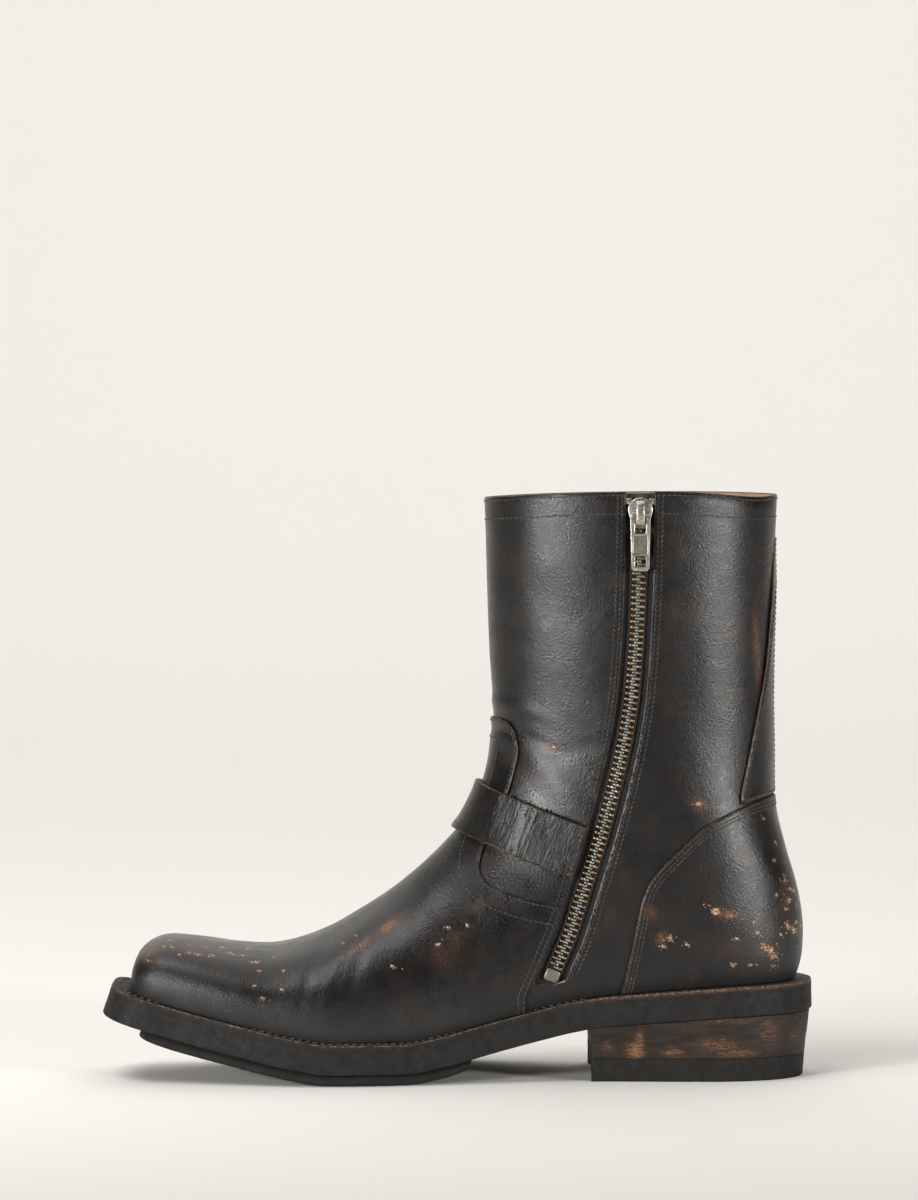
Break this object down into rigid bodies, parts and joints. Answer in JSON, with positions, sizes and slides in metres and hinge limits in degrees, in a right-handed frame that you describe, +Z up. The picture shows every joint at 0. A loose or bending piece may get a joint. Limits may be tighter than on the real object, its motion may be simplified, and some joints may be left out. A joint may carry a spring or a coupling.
{
  "type": "engineer boot",
  "caption": "Leather engineer boot for the right foot, with a square toe, side zip, instep strap and buckle, welted sole and block heel.",
  "frame": {"origin": "middle of the base on the floor plane, under the middle of the boot's box", "axes": "-X towards the toe, +X towards the heel, -Y towards the inner side with the zip, +Z up"},
  "size_m": [0.3079, 0.1045, 0.2548],
  "materials": {
    "leather": "waxed black leather, rubbed brown at the wear",
    "lining": "matte tan lining leather",
    "sole_edge": "satin dressed edge",
    "rubber": "matte black",
    "stacked_leather": "satin stacked leather with rubbed brown streaks",
    "zip_tape": "woven black tape",
    "zip_teeth": "antique brass",
    "nickel": "aged nickel plate"
  },
  "bodies": {
    "boot": {"upper": "leather", "vamp": "leather", "heel_counter": "leather", "back_stay": "leather", "strap": "leather", "insole": "lining", "welt": "sole_edge", "midsole": "sole_edge", "outsole": "rubber", "heel_block": "stacked_leather", "top_lift": "rubber", "buckle_frame": "nickel", "buckle_prong": "nickel", "zip_tape": "zip_tape", "zip_chain": "zip_teeth", "zip_bottom_stop": "zip_teeth", "zip_slider": "nickel"},
    "pull": {"zip_pull": "nickel"}
  },
  "joints": [
    {"name": "zip_pull_swing", "type": "hinge", "parent": "boot", "child": "pull", "pos_m": [0.07749, -0.04616, 0.2456], "axis": [-1, 0, 0], "range_deg": [0, 160]}
  ]
}
